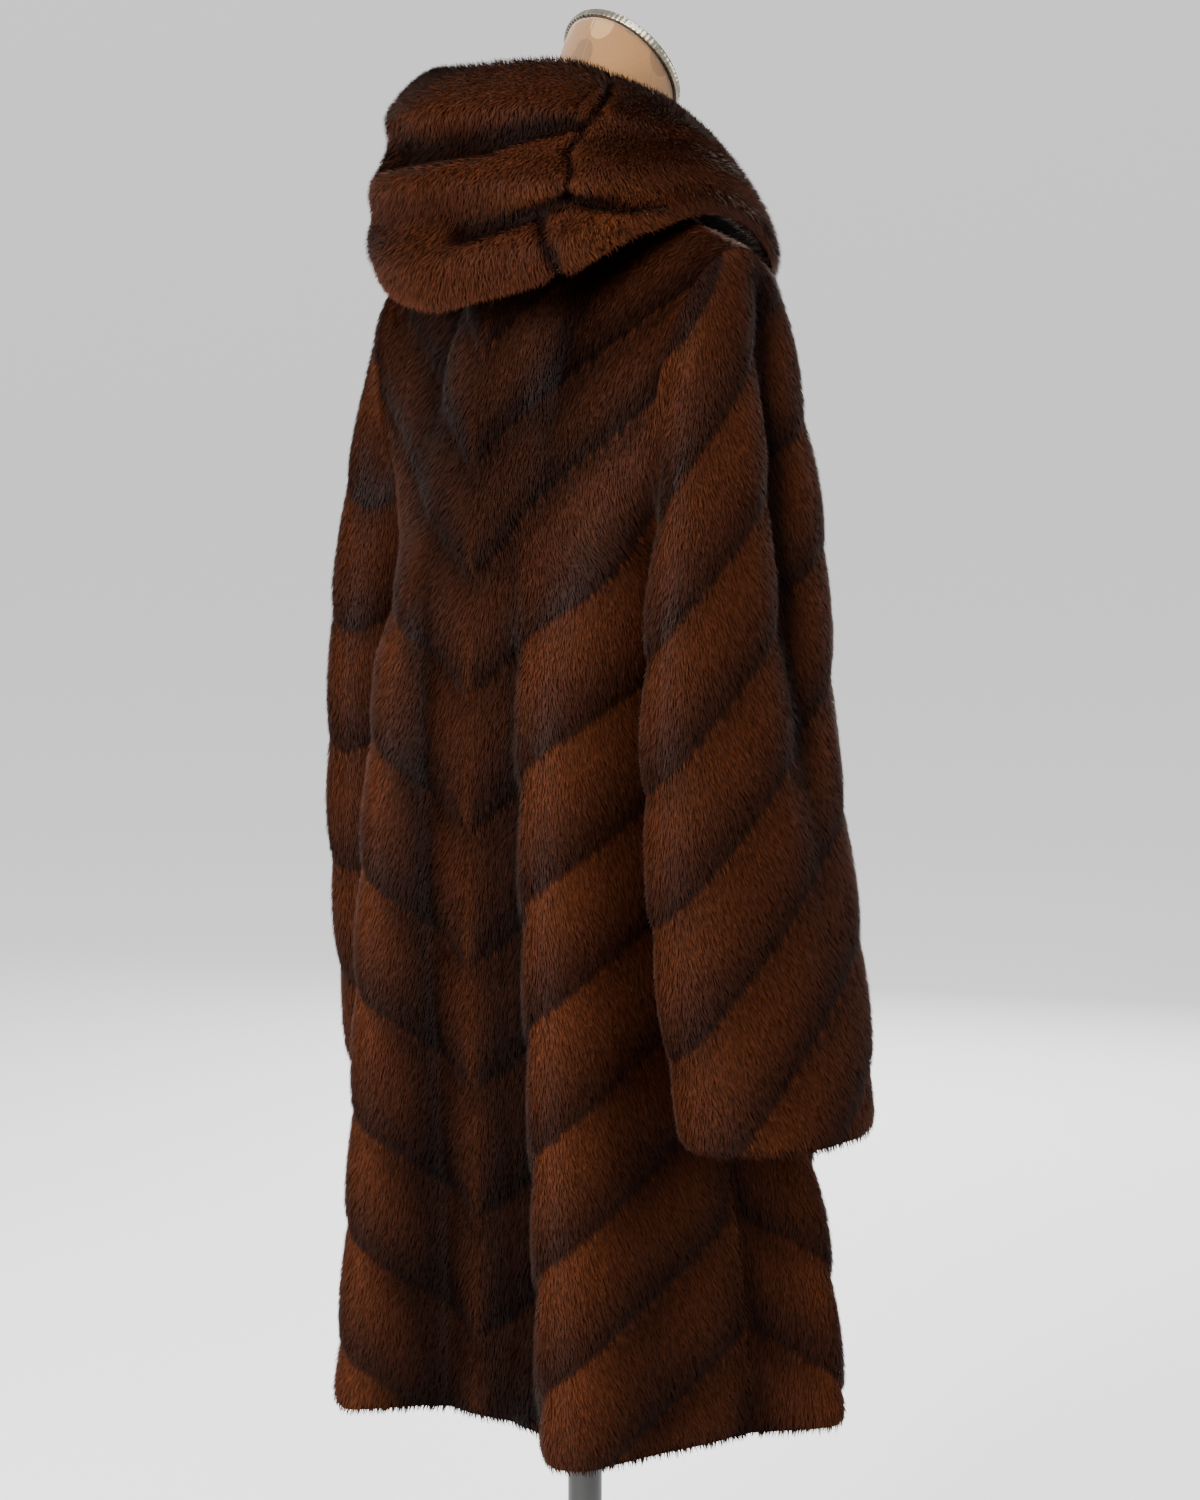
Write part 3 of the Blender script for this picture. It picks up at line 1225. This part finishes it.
def seam_curl(panel, phase):
    """How curly the fur is along the spine of a joined back and along the side seams."""
    grid, s = panel["outer"], panel["s"][None, :]
    reach = SEAM_CURL["reach"]
    spine = SEAM_CURL["spine"] * np.exp(-(grid[..., 0] / reach) ** 2) * (s < 0.5)
    width = np.linalg.norm(np.gradient(grid, axis=1), axis=-1) / np.abs(np.gradient(panel["s"]))[None, :]
    side = SEAM_CURL["side"] * np.exp(-((1 - s) * width / reach) ** 2)
    return spine + side * (grid[..., 2] < ARMPIT_Z)


def nap_of_hood(panel):
    """The way the fur lies on the hood, from its brim to the neck, and the bands of its pelts."""
    _, down, _ = grid_ways(panel["outer"])
    degrees = np.degrees(panel["angle"])
    share = panel["share"]
    phase = 0.34 + 0.08 * np.sin(np.radians(degrees * 3)) + 0.16 * smooth(clamp(share * 2 - 1))
    curl = np.zeros_like(phase)
    for spot in CURLS:
        across = (degrees - spot["at"]) / spot["wide"]
        up = (share - spot["share"]) / spot["tall"]
        curl = np.maximum(curl, spot["amount"] * np.exp(-across * across - up * up))
    return dict(way=-down, phase=phase, curl=curl)


def make_coat():
    """Every piece of the coat, as its skin and its fur. A skin is a sheet cut to the size given."""
    hair, group = hair_template(), fur_tree()
    skin_finish, hide = underfur_finish(), hide_finish()
    coat_hair, hood_hair = hair_finish("fur_hair", 0.14), hair_finish("hood_hair", 0.09)
    back = body_panel(joined(half_panel(True, 1), half_panel(True, -1)), True)
    # In a joined panel the side seams lie at both ends.
    pull_back(back["outer"], left=True, right=True, top=True)
    panels = {"back": (back, nap_of_panel(back), FUR, False)}
    for word, side in (("left", 1), ("right", -1)):
        front = body_panel(half_panel(False, side), False)
        pull_back(front["outer"], right=True, top=True)
        sleeve = sleeve_panel(side)
        hood_side = hood_panel(1, 2, -side, GRID["hood_side"])
        pull_back(hood_side["outer"], left=True)
        panels["front_" + word] = (front, nap_of_panel(front), FUR, False)
        panels["sleeve_" + word] = (sleeve, nap_of_panel(sleeve, True), FUR, True)
        nap = nap_of_hood(hood_side)
        panels["hood_side_" + word] = (dict(hood_side, phase=nap["phase"]), nap, HOOD_FUR, False)
    centre = hood_panel(-1, 1, 1, GRID["hood_centre"])
    pull_back(centre["outer"], left=True, right=True)
    nap = nap_of_hood(centre)
    panels["hood_centre"] = (dict(centre, phase=nap["phase"]), nap, HOOD_FUR, False)
    for number, (node, (panel, nap, fur, is_ring)) in enumerate(panels.items()):
        skin = closed_wall(node + "_skin", panel, is_ring, nap)
        skin.data.materials.append(skin_finish)
        skin.data.materials.append(hide)
        hair_look = hood_hair if fur is HOOD_FUR else coat_hair
        hairs = grow_fur(skin, node + "_fur", fur, group, hair, hair_look, SEED + number)
        for piece in (skin, hairs):
            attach(piece, "root")
        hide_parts(node)
        "draped" if "hood" in node else "hung"
    bpy.data.objects.remove(hair)


def make_stand():
    """The form, its rim and cap, its pole and its base, each in place of its plain solid."""
    linen = linen_finish("linen", (0.170, 0.081, 0.026), (0.122, 0.057, 0.018))
    torso, neck = make_form(linen)
    for piece in (torso, neck):
        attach(piece, "root")
    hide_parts("form_torso")
    rim = make_rim(nickel_finish())
    cap_cloth = linen_finish("cap_cloth", (0.168, 0.080, 0.026), (0.120, 0.056, 0.018))
    r, h = CAP["radius"], CAP["height"]
    crown = [(0.2, 0), (r, 0, 1), (r, h * 0.6, 2.5), (r - 3, h * 0.9, 2), (24, h + 2.2, 12), (0.2, h + 3)]
    top = lofted("neck_cap_cover", on_neck(turned_rings(crown, 96), SEAM_GAP), cap_cloth)
    paint = stand_finish()
    foot, head = (corner.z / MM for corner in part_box("pole"))
    tube = [(0.2, foot), (POLE_RADIUS, foot, 1), (POLE_RADIUS, head, 1), (0.2, head)]
    pole = lofted("pole_tube", turned_rings(tube, 64), paint)
    b = BASE
    disc = [(0.2, 0), (b["radius"], 0, 2), (b["radius"], b["height"] * 0.6, 4),
            (b["radius"] - b["bevel"], b["height"], 5), (0.2, b["height"])]
    plate = lofted("base_disc", turned_rings(disc, 128), paint)
    low = b["height"] + SEAM_GAP
    socket = [(0.2, low), (b["collar_foot"], low, 2), (b["collar_top"], b["collar_height"], 3),
              (0.2, b["collar_height"])]
    collar = lofted("base_socket", turned_rings(socket, 64), paint)
    for piece, node, slot in ((rim, "neck_rim", "rim"), (top, "neck_cap", "cap"), (pole, "pole", "stand"),
                              (plate, "base_plate", "stand"), (collar, "base_collar", "stand")):
        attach(piece, "root")
        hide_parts(node)


def make_camera():
    c = CAMERA
    camera = bpy.data.objects.new("camera", bpy.data.cameras.new("camera"))
    bpy.context.scene.collection.objects.link(camera)
    a, p = c["azimuth"], c["pitch"]
    look = Vector((math.sin(a) * math.cos(p), -math.cos(a) * math.cos(p), -math.sin(p)))
    camera.location = (-c["distance"] * math.sin(a), c["distance"] * math.cos(a), c["height"])
    camera.rotation_mode = "QUATERNION"
    camera.rotation_quaternion = (-look).to_track_quat("Z", "Y")
    camera.data.sensor_fit = "HORIZONTAL"
    camera.data.sensor_width = 36
    camera.data.lens = c["lens"]
    camera.data.shift_x = c["shift"]
    bpy.context.scene.camera = camera


# Soft lamps by bearing from the wearer's back, as the camera stands: degrees round, height, distance, width
LAMPS = table(
    "name turn height distance width power",
    ("key", 16, 1.8, 2.7, 1.2, 270),
    ("left_edge", -70, 1.5, 2.6, 1.0, 15),
    ("right_edge", 150, 1.7, 2.4, 1.0, 40),
    ("front_fill", 215, 1.8, 3.2, 2.0, 90),
    ("top", 75, 3.0, 1.2, 1.4, 60),
)


# The room is brightest where it is turned to, by bearing, and dimmest across from there.
ROOM = dict(turn=-105, near=1.0, far=0.84, above=2.5)


def make_lights():
    """Broad soft lamps all round, on a pale room."""
    for lamp in LAMPS:
        light = bpy.data.lights.new(lamp["name"], "AREA")
        light.energy = lamp["power"]
        light.size = lamp["width"]
        obj = bpy.data.objects.new(lamp["name"], light)
        turn = math.radians(lamp["turn"])
        obj.location = (-lamp["distance"] * math.sin(turn), lamp["distance"] * math.cos(turn), lamp["height"])
        aim = Vector((0, 0, 0.95)) - obj.location
        obj.rotation_mode = "QUATERNION"
        obj.rotation_quaternion = aim.to_track_quat("-Z", "Y")
        bpy.context.scene.collection.objects.link(obj)
    world = bpy.data.worlds.new("room")
    world.use_nodes = True
    room = Tree(world.node_tree)
    turn = math.radians(ROOM["turn"])
    facing = room.node("ShaderNodeVectorMath", dict(operation="DOT_PRODUCT"),
                       {0: room.node("ShaderNodeTexCoord", {}, {}, "Generated"),
                        1: (-math.sin(turn), math.cos(turn), ROOM["above"])}, "Value")
    power = room.node("ShaderNodeMapRange", dict(clamp=False),
                      {"Value": facing, "From Min": -1.0, "From Max": 1.0, "To Min": ROOM["far"], "To Max": ROOM["near"]})
    light = room.node("ShaderNodeBackground", {}, {"Color": (1, 1, 1, 1), "Strength": power})
    room.node("ShaderNodeOutputWorld", {}, {"Surface": light})
    bpy.context.scene.world = world


def make_floor():
    """A plain pale floor, far wider than the view."""
    mesh = bpy.data.meshes.new("floor")
    reach = 90
    mesh.from_pydata([(-reach, -reach, 0), (reach, -reach, 0), (reach, reach, 0), (-reach, reach, 0)], [],
                     [(0, 1, 2, 3)])
    finish = Finish("pale_floor")
    mesh.materials.append(finish.surface(Base_Color=(0.94, 0.94, 0.94, 1), Roughness=0.9, Specular_IOR_Level=0.2))
    floor = bpy.data.objects.new("floor", mesh)
    bpy.context.scene.collection.objects.link(floor)
    floor.location.z = 0


make_camera()
make_stand()
make_coat()
make_lights()
make_floor()
